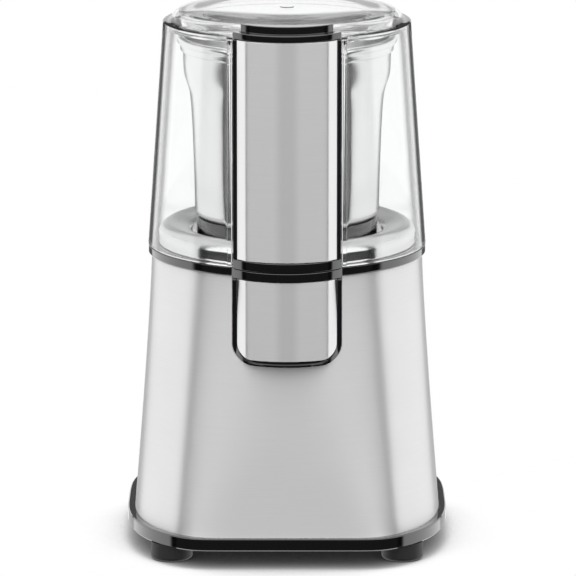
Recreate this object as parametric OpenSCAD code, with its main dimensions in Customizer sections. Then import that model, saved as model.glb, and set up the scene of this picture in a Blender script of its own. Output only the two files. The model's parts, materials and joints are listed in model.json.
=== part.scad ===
// Electric spice grinder: a motor base in a lofted steel shell, a lift-out grinding cup
// with its blade, and a clear lid whose front pod carries the push button.
// Millimetres. +Z is up, -Y is the front, the blade axis is the Z axis and the feet stand on Z = 0.

/* [Base plate] */
// Half the width of the base plate
plate_half = 56; // [54:0.5:60]
// Front face of the base plate, measured from the axis
plate_front = 55.9; // [54.5:0.1:58]
// Rear face of the base plate, measured from the axis
plate_rear = 56.2; // [54:0.1:60]
// Height of the plate's underside above the table
plate_under = 6.2; // [5:0.1:9]
// Thickness of the plate's floor
plate_floor = 2.8; // [2:0.1:4]
// Height of the lip above the plate's floor
lip_h = 1.7; // [1:0.1:3]
// Thickness of the lip at the sides and the rear
lip_side = 2.3; // [1.5:0.1:3]
// Thickness of the lip at the front
lip_front = 1.1; // [0.8:0.1:2]
// Bevel round the plate's outer edges
plate_bevel = 0.4; // [0.2:0.05:0.8]
// Number of cooling slots in each of the two fields
vent_count = 7; // [3:1:8]
// Width of one cooling slot
vent_w = 2.2; // [1.5:0.1:2.6]
// Distance from one cooling slot to the next
vent_pitch = 5; // [4.5:0.1:5.5]
// Length of one cooling slot
vent_len = 20; // [12:1:22]

/* [Feet] */
// Radius of a rubber foot
foot_r = 7.2; // [5:0.1:8]
// Distance of a foot's centre in from the plate's side
foot_inset = 16.1; // [15:0.1:19]
// Radius of the rounded edge under a foot
foot_edge = 1.2; // [0.4:0.1:2]
// Radius of the peg that holds a foot in the plate
foot_peg_r = 3; // [2:0.1:4]

/* [Steel shell] */
// Height of the shell
shell_h = 91.2; // [86:0.2:110]
// Thickness of the sheet steel
shell_wall = 0.9; // [0.6:0.1:1.5]
// How far the flat of the front starts outside the round top
flat_start = 1.8; // [1:0.1:3]
// Roundness of the front half at the bottom, 2 is an ellipse and more is squarer
front_exponent = 2.6; // [2.2:0.1:3.5]
// Reach of the front half's round, which the flat front cuts off
front_reach = 62; // [60:0.5:66]
// Squareness of the rear half at the bottom
rear_exponent = 4; // [2.5:0.1:5]
// Sharpness of the edges of the flat front
flat_edge = 60; // [30:2:80]
// How late the shell widens on its way down, 1 is a straight taper
flare = 1.22; // [1:0.02:1.6]

/* [Collar and deck] */
// Radius of the black collar ring
collar_r = 48.4; // [47.5:0.1:49.5]
// Height of the collar ring
collar_h = 3.2; // [2.5:0.1:5]
// Width of the collar ring
collar_w = 3.4; // [3:0.1:4.5]
// How far the collar stands out of the shell's top
collar_overhang = 1.2; // [0.6:0.1:1.6]
// Bevel under the collar's outer edge
collar_bevel = 0.5; // [0.2:0.1:1]
// Height of the deck's upright band above the collar
deck_band = 3.9; // [3:0.1:6]
// Radius of the deck's rounded shoulder
deck_shoulder = 4; // [3:0.1:5]
// Drop from the deck's crest to the lip of the recess
recess_drop = 2.1; // [1:0.1:3]
// Width of the recess beside the cup's base
recess_gap = 2; // [1:0.1:3]
// Rounding of the lip of the recess
recess_lip = 0.6; // [0.3:0.1:1]
// Thickness of the deck's sheet
deck_wall = 1; // [0.8:0.1:1.4]
// Height of the recess floor above the collar
recess_floor = 1.6; // [1.2:0.1:2.4]

/* [Front pod] */
// Half the width of the pod
pod_half = 18.4; // [17:0.1:19]
// How far the pod's curved face stands out of the collar
pod_depth = 7.4; // [7:0.1:8.6]
// Radius of the pod's curved face
pod_bow = 22.6; // [21.5:0.1:26]
// How far the bands at the seam stand out of the pod
band_proud = 0.45; // [0.2:0.05:0.8]
// Wall thickness of the pod's black mouldings
pod_wall = 1.3; // [1:0.1:1.5]
// Wall thickness of the pod's back
pod_back_wall = 1.1; // [0.8:0.1:1.3]
// Width of the black strip left beside a steel panel
strip_w = 1.65; // [1.2:0.05:2.2]
// Thickness of a steel panel
panel_t = 0.8; // [0.5:0.1:1]
// Depth of the base's pod below the seam
lower_pod_h = 32.6; // [31.6:0.1:38]
// How much wider the base's pod is than the lid's, on each side
lower_extra = 0.3; // [0:0.05:0.6]
// Radius of the lower corners of the base's pod
lower_corner = 6.8; // [5:0.1:9]
// Width of the trim under the lower panel
lower_trim = 0.7; // [0.5:0.1:1]

/* [Lid] */
// How far the lid's foot stands out of the collar
lid_overhang = 0.1; // [0:0.05:0.3]
// How far the lid narrows from its foot to its rim
lid_taper = 5.5; // [3:0.1:6]
// Headroom from the cup's rim to the lid's rim
lid_headroom = 4.9; // [4:0.1:10]
// Wall thickness of the lid
lid_wall = 1.8; // [1.4:0.1:2]
// Width of the ledge between the lid's rim and its raised top
ledge_w = 3.2; // [2:0.1:5]
// Height of the raised top's rounded edge
dome_step = 3.7; // [3.6:0.1:4.4]
// Height of the dome above that edge
dome_rise = 0.8; // [0.4:0.1:2]
// Rounding of the raised top's edge
dome_edge = 3.4; // [2:0.1:3.5]
// Radius of the mould gate mark on the dome
gate_r = 2.4; // [1.5:0.1:4]
// Thickness of the clear walls beside the pod
channel_wall = 1.7; // [1.4:0.1:2]

/* [Push button] */
// Height of the fixed bezel round the button
bezel_h = 2.3; // [1.5:0.1:3]
// How far the button stands above the bezel
button_proud = 2.8; // [2.6:0.1:4]
// Travel of the button
button_travel = 2.4; // [1.5:0.1:2.5]
// Width of the rim beside the button
button_margin = 2.4; // [2:0.1:3.4]
// Wall between the button and the steel panel
button_wall = 0.6; // [0.4:0.1:0.8]
// Depth of the spring's seat below the pod's top
spring_depth = 15; // [14:0.1:18]
// Depth of the button's skirt below the pod's top
button_skirt = 5.4; // [4:0.1:6]
// Thickness of the button's crown
button_crown = 2; // [1.5:0.1:2.5]
// Radius of the push rod
rod_r = 1.5; // [1.3:0.1:1.6]

/* [Grinding cup] */
// Room round the cup, from the collar's edge in to the cup's wall below its rim
cup_room = 12.6; // [12.2:0.1:13.2]
// How far the waist is set in
waist_in = 3.3; // [3:0.1:3.5]
// How far the cup narrows from its waist to the foot of its steel wall
cup_taper = 0.7; // [0.4:0.1:1]
// Height of the steel wall
cup_h = 63.6; // [60:0.2:68]
// Height of the waist's lower end above the foot of the wall
waist_low = 40.2; // [30:0.2:44]
// Height over which the waist widens
waist_h = 9.8; // [6:0.2:12]
// Thickness of the cup's sheet
cup_wall = 0.8; // [0.6:0.1:1.2]
// Radius of the rolled rim
bead_r = 1.25; // [1:0.05:1.5]
// Radius inside the cup between its floor and its wall
cup_corner = 4; // [2:0.5:5]
// Height of the black base under the steel wall
cup_base_h = 8.2; // [7.6:0.1:10]
// How far that base is set in under the steel wall
cup_base_in = 0.4; // [0.3:0.1:1]
// Wall thickness of that base
cup_base_wall = 2.2; // [1.5:0.1:3]

/* [Blade and coupling] */
// Gap from a blade's tip to the wall of the cup
blade_room = 5; // [4.2:0.1:9]
// Width of the blade at its hub
blade_w = 12; // [11:0.5:14]
// Thickness of the blade
blade_t = 1.4; // [1:0.1:2]
// Angle by which the blade's wings are bent
blade_bend = 14; // [5:1:20]
// Radius of the blade shaft
blade_shaft_r = 3; // [2.5:0.1:3.3]
// Wall thickness of the bush round the blade shaft
bush_wall = 3.2; // [2:0.1:3.5]
// Height of the bush above the floor of the cup
bush_rise = 4; // [3:0.1:5]
// Radius of the driver that stands in the recess
driver_r = 6.2; // [5.6:0.1:6.5]
// Height of the driver above the floor of the recess
driver_rise = 5.2; // [4.8:0.1:5.4]
// Number of lobes on the driver
driver_lobes = 4; // [3:1:6]
// Width of a lobe
lobe_w = 2.6; // [2:0.1:3]
// Outer radius of the socket under the cup
socket_r = 9.2; // [8.9:0.1:9.6]

/* [Motor] */
// Radius of the motor shaft
shaft_r = 4; // [3:0.1:4.5]
// Height of the stator's plate stack
stack_h = 28; // [22:1:30]
// Radius of the armature
armature_r = 17.2; // [16:0.1:17.6]
// Air gap between the armature and the stator
air_gap = 0.5; // [0.35:0.05:0.8]
// Half the width of the stator's plates
stator_half = 29; // [28:0.5:30]
// Thickness of the winding in the stator's windows
coil_w = 6.4; // [5:0.1:6.8]
// Height of the winding above the plate stack
coil_rise = 4.4; // [3:0.1:5]
// Number of armature slots
slot_count = 12; // [8:1:16]
// Radius of the commutator
commutator_r = 11; // [9:0.1:12]
// Height of the commutator
commutator_h = 10; // [9.6:0.1:10.6]
// Radius of the springs behind the brushes
brush_coil_r = 1.6; // [1.4:0.1:1.8]
// Radius of the cooling fan
fan_r = 22.5; // [20:0.5:23]
// Height of the cooling fan
fan_h = 5; // [4:0.1:6]
// Number of fan blades
fan_blades = 9; // [6:1:12]
// Outer radius of a motor bearing
bearing_r = 8; // [7:0.1:9]
// Height of a motor bearing
bearing_h = 7; // [5:0.5:8]
// Thickness of the two motor brackets
bracket_t = 3; // [2:0.1:3.5]
// Radius of the heads of the motor bolts
bolt_head_r = 3; // [2.6:0.1:3]
// Height of those heads
bolt_head_h = 2.2; // [1.6:0.1:2.4]
// Distance of the motor bolts from the axis
bolt_place = 27.4; // [27.2:0.1:28]
// Radius of a motor bolt
bolt_r = 1.6; // [1.2:0.1:2]
// Radius of a rubber motor mount
mount_r = 4.6; // [4:0.1:5]
// Height of a rubber motor mount
mount_h = 10; // [8:0.5:11]
// Distance of the rubber mounts from the axis
mount_place = 36; // [35:0.5:37]
// Thickness of the chassis that carries the motor and the deck
chassis_t = 2.2; // [1.8:0.1:3]
// Radius of a chassis post
post_r = 4; // [3:0.1:4.2]
// Radius of the screws into the posts
screw_r = 1.6; // [1.2:0.1:1.8]
// Length of those screws above the plate's floor
screw_len = 13; // [8:1:20]
// Radius of their heads
screw_head_r = 3.4; // [2.6:0.1:4]

/* [Switch] */
// Radius of the switch plunger
plunger_r = 1.2; // [1:0.1:1.3]
// Radius of the plunger's flange
flange_r = 2; // [1.9:0.1:2.1]
// Thickness of the flanges on the plunger and the rod
flange_t = 1.2; // [0.8:0.1:1.6]
// Gap between the microswitch and the motor's brackets
switch_room = 2.175; // [1.975:0.1:3.975]
// Width of the microswitch
switch_w = 6.4; // [5.6:0.1:7]
// Height of the microswitch
switch_h = 10.2; // [9:0.1:10.6]
// Thickness of the switch lever
lever_t = 0.5; // [0.3:0.1:0.6]
// Thickness of the plunger's guide
guide_t = 1.4; // [1:0.1:2]
// Wire radius of the coil springs
wire_r = 0.22; // [0.18:0.01:0.25]

/* [Cord inlet] */
// Radius of the bore for the mains lead
inlet_bore_r = 3.6; // [3:0.1:4]
// Wall thickness of the inlet's sleeve
inlet_wall = 1.4; // [1:0.1:2]
// Outer radius of the inlet's flange
inlet_flange_r = 6.6; // [6.2:0.1:8]
// Length of the sleeve inside the shell
inlet_sleeve = 6; // [4:0.5:9]
// Height of the inlet above the table
inlet_z = 24; // [22:0.5:28]
// How far the flange stands out of the shell
inlet_proud = 2.4; // [1.5:0.1:3]

/* [Fits] */
// Gap between parts that are lifted off each other
lift_gap = 0.2; // [0.15:0.05:0.3]
// Gap between curved faces that move past each other
slide_gap = 0.35; // [0.3:0.05:0.45]
// Radial clearance of a shaft in its bearing
bearing_gap = 0.05; // [0.02:0.01:0.08]
// Gap between mouldings that are fixed together
seat_gap = 0.1; // [0.05:0.01:0.15]

/* [Hidden] */

$fn = 96;
eps = 0.01;
past = 1;
far = 200;

// Heights, from the table up
floor_top = plate_under + plate_floor;
lip_top = floor_top + lip_h;
shell_top = floor_top + shell_h;
seam = shell_top + collar_h;
band_top = seam + deck_band;
crest_z = band_top + deck_shoulder;
recess_z = seam + recess_floor;
cup_seat = recess_z + lift_gap;
cup_floor = cup_seat + cup_base_h;
cup_inside = cup_floor + cup_wall;
cup_top = cup_floor + cup_h;
lid_foot = seam + lift_gap;
rim_z = cup_top + lid_headroom;
dome_z = rim_z + dome_step + dome_rise;
pod_top = rim_z + 0.7;
bezel_top = pod_top + bezel_h;
button_top = bezel_top + button_proud;

// Radii that follow the collar
shell_top_r = collar_r - collar_overhang;
deck_r = collar_r - collar_w;
deck_crest_r = deck_r - deck_shoulder;
cup_upper_r = collar_r - cup_room;
cup_waist_r = cup_upper_r - waist_in;
cup_foot_r = cup_waist_r - cup_taper;
cup_base_r = cup_foot_r - cup_base_in;
blade_span = 2 * (cup_foot_r - cup_wall - blade_room);
recess_r = cup_base_r + recess_gap;
lid_foot_r = collar_r + lid_overhang;
lid_rim_r = lid_foot_r - lid_taper;
dome_r = lid_rim_r - ledge_w;
channel_back_r = deck_r + slide_gap;
pod_back_r = channel_back_r + channel_wall + seat_gap;
chassis_r = shell_top_r - shell_wall - 0.6;
foot_place = plate_half - foot_inset;

// The shell's plan at its foot
plan_sides = 120;
loft_rings = 12;
crowding = 6.4;
shell_side = plate_half - lip_side - seat_gap;
shell_front = plate_front - lip_front - seat_gap;
shell_rear = plate_rear - lip_side - seat_gap;
flat_top = shell_top_r + flat_start;
function ease(s) = pow(s, flare);
function lerp(a, b, s) = a + (b - a) * s;
// Directions round the plan, closer together towards the corners
function turn_at(i) = let(a = 360 * i / plan_sides) a + crowding * sin(4 * a);
// Radius of the plan in a direction: a superellipse for each half, and a flat that cuts the front
function plan_radius(grow, turn, half, front, reach, n_front, rear, n_rear) =
  let(c = abs(cos(turn)), s = abs(sin(turn)), ahead = sin(turn) < 0)
  let(n = ahead ? n_front : n_rear, b = ahead ? reach : rear)
  let(round_r = pow(pow(c / (half + grow), n) + pow(s / (b + grow), n), -1 / n))
  ahead ? (front + grow) * pow(pow((front + grow) / round_r, flat_edge) + pow(s, flat_edge), -1 / flat_edge)
        : round_r;
function plate_radius(grow, turn) =
  plan_radius(grow, turn, plate_half, plate_front, front_reach, front_exponent, plate_rear,
              rear_exponent);
function shell_radius(grow, turn, s) =
  plan_radius(grow, turn, lerp(shell_top_r, shell_side, ease(s)), lerp(flat_top, shell_front, s),
              lerp(shell_top_r, front_reach - lip_side, ease(s)), lerp(2, front_exponent, s),
              lerp(shell_top_r, shell_rear, ease(s)), lerp(2, rear_exponent, ease(s)));
function share_down(z) = (shell_top - z) / shell_h;

// The pod's plan
pod_front = collar_r + pod_depth;
bow_y = pod_bow - pod_front;
rod_y = -(pod_front + pod_back_r) / 2 + 0.1;
lower_half = pod_half + lower_extra;
lower_foot = seam - lower_pod_h;
lower_back = deck_r - 2.5;
lower_back_y = sqrt(lower_back * lower_back - lower_half * lower_half);
pod_skin = pod_wall + panel_t;
rod_hole_r = rod_r + slide_gap;

// The motor's levels, from the chassis down
chassis_under = shell_top - chassis_t;
upper_bracket_z = chassis_under - mount_h - bracket_t;
upper_bearing_z = upper_bracket_z - 2;
fan_z = upper_bearing_z - 1 - fan_h;
stack_top = fan_z - 6;
stack_z = stack_top - stack_h;
commutator_z = stack_z - coil_rise - 0.2 - commutator_h;
brush_h = 8;
brush_z = commutator_z + 1;
lower_bracket_z = brush_z - 4.4 - bracket_t;
lower_bearing_z = lower_bracket_z - 4;
bracket_r = bolt_place + 3.1;
spacer_r = bolt_r + 1.8;
stator_depth = bolt_place + 3.6;
stator_corner_r = stator_half + 5;
bore_r = armature_r + air_gap;
coil_in = bore_r + 0.3;
coil_out = coil_in + coil_w;
window_half = 10.6;
winding_rise = 3.4;
post_place = (stator_corner_r + post_r + 0.9) / sqrt(2);
brush_w = 5;
brush_len = 6.4;
holder_len = 13;

// The coupling's levels
driver_base = shell_top - 1.6;
driver_top = recess_z + driver_rise;
socket_foot = recess_z + 0.7;
shaft_top = socket_foot - 1.2;
socket_web = driver_top + 0.8;
socket_top = cup_floor - 1.1;
web_z = socket_top + 0.4;
boss_r = socket_r + 1.4;
bush_r = blade_shaft_r + bush_wall;
bush_top = cup_inside + bush_rise;
hub_z = bush_top + 0.4;
hub_top = hub_z + blade_t;
nut_h = 3.2;
nut_r = 5;

// The switch's levels and its places along Y
shelf_z = lower_foot + pod_wall;
switch_top = shelf_z + switch_h;
switch_front = rod_y - 1.1;
switch_len = -switch_front - bracket_r - switch_room;
pivot_y = switch_front + switch_len - 1.8;
pivot_z = switch_top + 1.2;
pin_r = 0.5;
lever_arm = pivot_y - rod_y;
lever_turn = asin(button_travel / lever_arm);
plunger_foot = pivot_z + button_travel + lever_t + 0.35;
guide_z = plunger_foot + 1.6;
flange_z = shell_top - seat_gap - flange_t;
plunger_coil_r = plunger_r + 0.3 + wire_r;

// The button's levels
spring_seat = pod_top - spring_depth;
guide_low = lid_foot + 10;
shelf_t = 1.6;
skirt_z = pod_top - button_skirt;
rod_flange_z = skirt_z - seat_gap - flange_t;
rod_flange_r = rod_r + 0.8;
rod_coil_r = rod_r + 0.3 + wire_r;

// Colours
black_gloss = [0.06, 0.06, 0.065];
black_matte = [0.12, 0.12, 0.12];
steel = [0.78, 0.78, 0.79];
bright_steel = [0.88, 0.88, 0.89];
clear = [0.85, 0.9, 0.92, 0.35];
copper = [0.72, 0.42, 0.24];
bronze = [0.8, 0.6, 0.35];
iron = [0.45, 0.46, 0.48];
rubber = [0.08, 0.08, 0.08];
natural = [0.85, 0.84, 0.8];

// ---------- Shared shapes ----------

// The pod's plan: a bowed front, straight sides and a back that follows the lid
module pod_plan(half, grow, back_r) {
  difference() {
    intersection() {
      translate([0, bow_y]) circle(pod_bow + grow);
      translate([-half, -pod_front - past]) square([2 * half, pod_front]);
    }
    circle(back_r);
  }
}

// The curved strip that a panel fills at the front of a pod
module panel_arc(half, beyond) {
  intersection() {
    difference() {
      translate([0, bow_y]) circle(pod_bow + beyond);
      translate([0, bow_y]) circle(pod_bow - panel_t);
    }
    translate([-half, -pod_front - 2 * past]) square([2 * half, pod_bow]);
  }
}

// The base pod's face seen from the front: square above, rounded below
module pod_face(half, foot, top, corner) {
  translate([-half, foot + corner]) square([2 * half, top - foot - corner]);
  translate([corner - half, foot]) square([2 * (half - corner), corner + eps]);
  for (side = [-1, 1]) translate([side * (half - corner), foot + corner]) circle(corner);
}

// A flat outline in X and Z, drawn out along Y between two depths
module along_y(from, to) {
  translate([0, to, 0]) rotate([90, 0, 0]) linear_extrude(to - from) children();
}

module tube(r_out, r_in, z, h) {
  translate([0, 0, z]) difference() {
    cylinder(r = r_out, h = h);
    translate([0, 0, -past]) cylinder(r = r_in, h = h + 2 * past);
  }
}

module slot(len, w) {
  square([len - w, w], center = true);
  for (x = [-1, 1]) translate([x * (len - w) / 2, 0]) circle(w / 2);
}

// A solid through rings of points, the first one highest. A closed loft runs down its outside and
// back up its inside, so it needs no ends
module ring_loft(rings, closed = false) {
  sides = len(rings[0]);
  count = len(rings);
  points = [for (ring = rings) each ring];
  walls = [for (j = [0:count - (closed ? 1 : 2)], i = [0:sides - 1])
    let(k = (i + 1) % sides, a = j * sides, b = (j + 1) % count * sides)
    each [[a + i, a + k, b + k], [a + i, b + k, b + i]]];
  top = [for (i = [sides - 1:-1:0]) i];
  foot = [for (i = [0:sides - 1]) (count - 1) * sides + i];
  polyhedron(points, closed ? walls : concat([top], walls, [foot]));
}

// A closed coil spring along Z, swept as rings of points along a helix
module coil_spring(r, h, turns) {
  steps = 14 * turns;
  ring = 6;
  points = [for (i = [0:steps], j = [0:ring - 1])
    let(turn = 360 * turns * i / steps, z = wire_r + (h - 2 * wire_r) * i / steps, a = 360 * j / ring)
    [(r + wire_r * cos(a)) * cos(turn), (r + wire_r * cos(a)) * sin(turn), z + wire_r * sin(a)]];
  sides = [for (i = [0:steps - 1], j = [0:ring - 1])
    let(k = (j + 1) % ring, a = i * ring)
    each [[a + j, a + k, a + ring + k], [a + j, a + ring + k, a + ring + j]]];
  first = [for (j = [ring - 1:-1:0]) j];
  last = [for (j = [0:ring - 1]) steps * ring + j];
  polyhedron(points, concat([first], sides, [last]));
}

module at_four(place) {
  for (x = [-place, place], y = [-place, place]) translate([x, y, 0]) children();
}

// ---------- Base ----------

function plate_ring(grow, z) = [for (i = [0:plan_sides - 1])
  let(turn = turn_at(i), r = plate_radius(grow, turn)) [r * cos(turn), r * sin(turn), z]];

module base_plate() {
  color(black_gloss) difference() {
    ring_loft([plate_ring(-plate_bevel, lip_top), plate_ring(0, lip_top - plate_bevel),
               plate_ring(0, plate_under + plate_bevel), plate_ring(-plate_bevel, plate_under)]);
    translate([0, 0, floor_top]) linear_extrude(lip_h + past) shell_foot_plan();
    at_four(foot_place) translate([0, 0, plate_under - past])
      cylinder(r = foot_peg_r + seat_gap, h = plate_floor + lip_h + 2 * past);
    at_four(post_place) {
      translate([0, 0, plate_under - past]) cylinder(r = screw_r + seat_gap, h = plate_floor + 2 * past);
      translate([0, 0, plate_under - past])
        cylinder(r = screw_head_r + seat_gap, h = past + plate_floor / 2);
    }
    for (side = [-1, 1], i = [0:vent_count - 1])
      translate([side * (vent_len / 2 + 2), (i - (vent_count - 1) / 2) * vent_pitch, plate_under - past])
        linear_extrude(plate_floor + 2 * past) slot(vent_len, vent_w);
  }
}

// The space inside the plate's lip, which the shell fills
module shell_foot_plan() {
  polygon([for (i = [0:plan_sides - 1])
    let(turn = turn_at(i)) (shell_radius(0, turn, 1) + seat_gap) * [cos(turn), sin(turn)]]);
}

module foot(x, y) {
  color(rubber) translate([x, y, 0]) rotate_extrude() {
    square([foot_r - foot_edge, plate_under]);
    translate([0, foot_edge]) square([foot_r, plate_under - foot_edge]);
    translate([foot_r - foot_edge, foot_edge]) circle(foot_edge);
    square([foot_peg_r, floor_top]);
  }
}

module base_screws() {
  head_h = plate_floor / 2;
  color(iron) at_four(post_place) {
    difference() {
      translate([0, 0, plate_under + lift_gap]) cylinder(r = screw_head_r, h = head_h - lift_gap);
      for (turn = [0, 90]) rotate(turn) translate([-screw_head_r / 2, -0.4, plate_under])
        cube([screw_head_r, 0.8, head_h * 0.7]);
    }
    translate([0, 0, plate_under + head_h - eps])
      cylinder(r = screw_r, h = plate_floor - head_h + screw_len);
  }
}

// A ring of the shell at a share of its way down, grown or shrunk all round
function shell_ring(grow, s) = [for (i = [0:plan_sides - 1])
  let(turn = turn_at(i), r = shell_radius(grow, turn, s))
  [r * cos(turn), r * sin(turn), shell_top - s * shell_h]];

module steel_shell() {
  color(steel) difference() {
    ring_loft(concat([for (j = [0:loft_rings]) shell_ring(0, j / loft_rings)],
                     [for (j = [loft_rings:-1:0]) shell_ring(-shell_wall, j / loft_rings)]), true);
    along_y(-far, -shell_top_r / 2)
      pod_face(lower_half + seat_gap, lower_foot - seat_gap, shell_top + past, lower_corner);
    translate([0, shell_top_r / 2, inlet_z]) rotate([-90, 0, 0])
      cylinder(r = inlet_bore_r + inlet_wall + seat_gap, h = far);
  }
}

// ---------- Chassis, collar and deck ----------

module motor_chassis() {
  shield_r = socket_r + 2.4;
  color(black_matte) difference() {
    union() {
      translate([0, 0, chassis_under]) cylinder(r = chassis_r, h = chassis_t);
      tube(shield_r + 3, shield_r, shell_top - eps, recess_z - deck_wall - shell_top + eps);
      at_four(post_place) translate([0, 0, floor_top])
        cylinder(r = post_r, h = chassis_under - floor_top + eps);
    }
    translate([0, 0, chassis_under - past]) cylinder(r = socket_r + 1, h = chassis_t + 2 * past);
    translate([-lower_half - 0.6, -far, chassis_under - past])
      cube([2 * lower_half + 1.2, far - lower_back_y + 0.6, chassis_t + 2 * past]);
    at_four(post_place) translate([0, 0, floor_top - past])
      cylinder(r = screw_r + seat_gap, h = screw_len + 3);
  }
}

module top_collar() {
  color(black_gloss) difference() {
    union() {
      rotate_extrude() polygon([[deck_r, shell_top], [collar_r - collar_bevel, shell_top],
        [collar_r, shell_top + collar_bevel], [collar_r, seam], [deck_r, seam]]);
      translate([0, 0, shell_top]) linear_extrude(collar_h) pod_plan(lower_half, band_proud, deck_r);
    }
    translate([0, 0, shell_top - past]) cylinder(r = deck_r + seat_gap, h = collar_h + 2 * past);
    translate([0, rod_y, shell_top - past]) cylinder(r = rod_hole_r, h = collar_h + 2 * past);
  }
}

// The deck's slope from its crest down to the recess, set in by a wall
function deck_slope(w) = let(lip_r = recess_r + recess_lip, lip_z = crest_z - recess_drop) [
  [lerp(lip_r, deck_crest_r, 0.72), lerp(lip_z, crest_z, 0.92) - w],
  [lerp(lip_r, deck_crest_r, 0.4), lerp(lip_z, crest_z, 0.62) - w],
  [lip_r + w * 0.4, lip_z - w], [recess_r + w, lip_z - recess_lip - w * 0.6]];

module deck_dish() {
  wall = deck_wall;
  hole_r = socket_r + 1.2;
  foot = shell_top + seat_gap;
  color(bright_steel) rotate_extrude() {
    difference() {
      union() {
        translate([deck_crest_r, band_top]) circle(deck_shoulder);
        translate([deck_crest_r - deck_shoulder, foot]) square([2 * deck_shoulder, band_top - foot]);
      }
      translate([deck_crest_r, band_top]) circle(deck_shoulder - wall);
      translate([deck_crest_r - deck_shoulder, foot - past])
        square([2 * deck_shoulder - wall, band_top - foot + past]);
      translate([0, foot - past]) square([deck_crest_r, far]);
    }
    polygon(concat([[deck_crest_r + eps, crest_z]], deck_slope(0),
                   [[recess_r, recess_z], [hole_r, recess_z], [hole_r, recess_z - wall],
                    [recess_r + wall, recess_z - wall]],
                   [for (i = [3:-1:0]) deck_slope(wall)[i]], [[deck_crest_r + eps, crest_z - wall]]));
  }
}

// ---------- The base's pod and the switch ----------

module switch_pod() {
  color(black_gloss) difference() {
    union() {
      intersection() {
        translate([0, 0, lower_foot - past]) linear_extrude(shell_top - lower_foot + 2 * past)
          pod_plan(lower_half + past, 0, lower_back);
        along_y(-far, 0) pod_face(lower_half, lower_foot, shell_top, lower_corner);
      }
      translate([-switch_w / 2 - 1, -lower_back - 1, lower_foot])
        cube([switch_w + 2, pivot_y + 3 + lower_back, pod_wall]);
    }
    // The hollow, with the plunger's guide left standing
    difference() {
      intersection() {
        translate([0, 0, lower_foot]) linear_extrude(shell_h)
          pod_plan(lower_half, -pod_skin, lower_back / 2);
        along_y(-far, 0) pod_face(lower_half - pod_wall, shelf_z, shell_top + past,
                                  lower_corner - pod_wall);
      }
      translate([-switch_w, -far, guide_z]) cube([2 * switch_w, far - lower_back, guide_t]);
    }
    translate([0, rod_y, guide_z - past]) cylinder(r = plunger_r + slide_gap, h = guide_t + 2 * past);
    intersection() {
      along_y(-far, 0) pod_face(lower_half - strip_w, lower_foot + lower_trim, shell_top + past,
                                lower_corner - lower_trim);
      translate([0, 0, lower_foot]) linear_extrude(far) panel_arc(lower_half, past);
    }
  }
}

module switch_panel() {
  color(steel) intersection() {
    along_y(-far, 0) pod_face(lower_half - strip_w - seat_gap, lower_foot + lower_trim + seat_gap,
                              shell_top, lower_corner - lower_trim);
    translate([0, 0, lower_foot]) linear_extrude(shell_top - lower_foot) panel_arc(lower_half, 0);
  }
}

module microswitch() {
  ear = 1.4;
  color(black_matte) {
    translate([-switch_w / 2, switch_front, shelf_z]) cube([switch_w, switch_len, switch_h]);
    translate([0, pivot_y - 6, switch_top - eps]) cylinder(r = 0.9, h = 0.8);
    for (side = [-1, 1]) difference() {
      translate([side * (switch_w - ear) / 2 - ear / 2, pivot_y - 1.2, switch_top - eps])
        cube([ear, 2.4, 2.2]);
      translate([-switch_w, pivot_y, pivot_z]) rotate([0, 90, 0])
        cylinder(r = pin_r + bearing_gap, h = 2 * switch_w);
    }
  }
}

module switch_lever() {
  reach = lever_arm + 1.6;
  color(bright_steel) translate([0, pivot_y, pivot_z]) {
    rotate([0, 90, 0]) translate([0, 0, -switch_w / 2]) cylinder(r = pin_r, h = switch_w);
    rotate([-lever_turn, 0, 0]) translate([-1.6, -reach, -0.1]) cube([3.2, reach, lever_t]);
  }
}

module switch_plunger() {
  color(natural) translate([0, rod_y, 0]) {
    translate([0, 0, plunger_foot]) cylinder(r = plunger_r, h = seam - plunger_foot);
    translate([0, 0, flange_z]) cylinder(r = flange_r, h = flange_t);
  }
}

module plunger_spring() {
  color(bright_steel) translate([0, rod_y, guide_z + guide_t])
    coil_spring(plunger_coil_r, flange_z - guide_z - guide_t, 5);
}

module cord_inlet() {
  wall_y = shell_radius(0, 90, share_down(inlet_z));
  foot_y = shell_radius(0, 90, share_down(inlet_z - inlet_flange_r));
  lean = atan((foot_y - wall_y) / inlet_flange_r);
  bevel = 0.8;
  color(black_gloss) translate([0, 0, inlet_z]) rotate([-90, 0, 0]) difference() {
    union() {
      translate([0, 0, wall_y + seat_gap]) rotate([lean, 0, 0]) {
        cylinder(r = inlet_flange_r, h = inlet_proud - bevel);
        translate([0, 0, inlet_proud - bevel - eps])
          cylinder(r1 = inlet_flange_r, r2 = inlet_flange_r - bevel, h = bevel);
      }
      translate([0, 0, wall_y - inlet_sleeve])
        cylinder(r = inlet_bore_r + inlet_wall, h = inlet_sleeve + 1);
    }
    translate([0, 0, wall_y - inlet_sleeve - past])
      cylinder(r = inlet_bore_r, h = inlet_sleeve + inlet_proud + 3 * past);
  }
}

// ---------- Motor ----------

// A bracket's disc with its bearing seat and bolt holes
module bracket_disc(z, seat_z, windows) {
  difference() {
    union() {
      translate([0, 0, z]) cylinder(r = bracket_r, h = bracket_t);
      translate([0, 0, seat_z]) cylinder(r = bearing_r + 2.4, h = bearing_h);
      children();
    }
    translate([0, 0, seat_z - past]) cylinder(r = bearing_r + seat_gap, h = bearing_h + 2 * past);
    for (y = [-bolt_place, bolt_place]) translate([0, y, 0]) cylinder(r = bolt_r + seat_gap, h = far);
    for (i = [0:windows - 1]) rotate(360 * (i + 0.5) / windows)
      translate([(bearing_r + bolt_place) / 2, 0, z - past]) cylinder(r = 4, h = bracket_t + 2 * past);
  }
}

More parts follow.
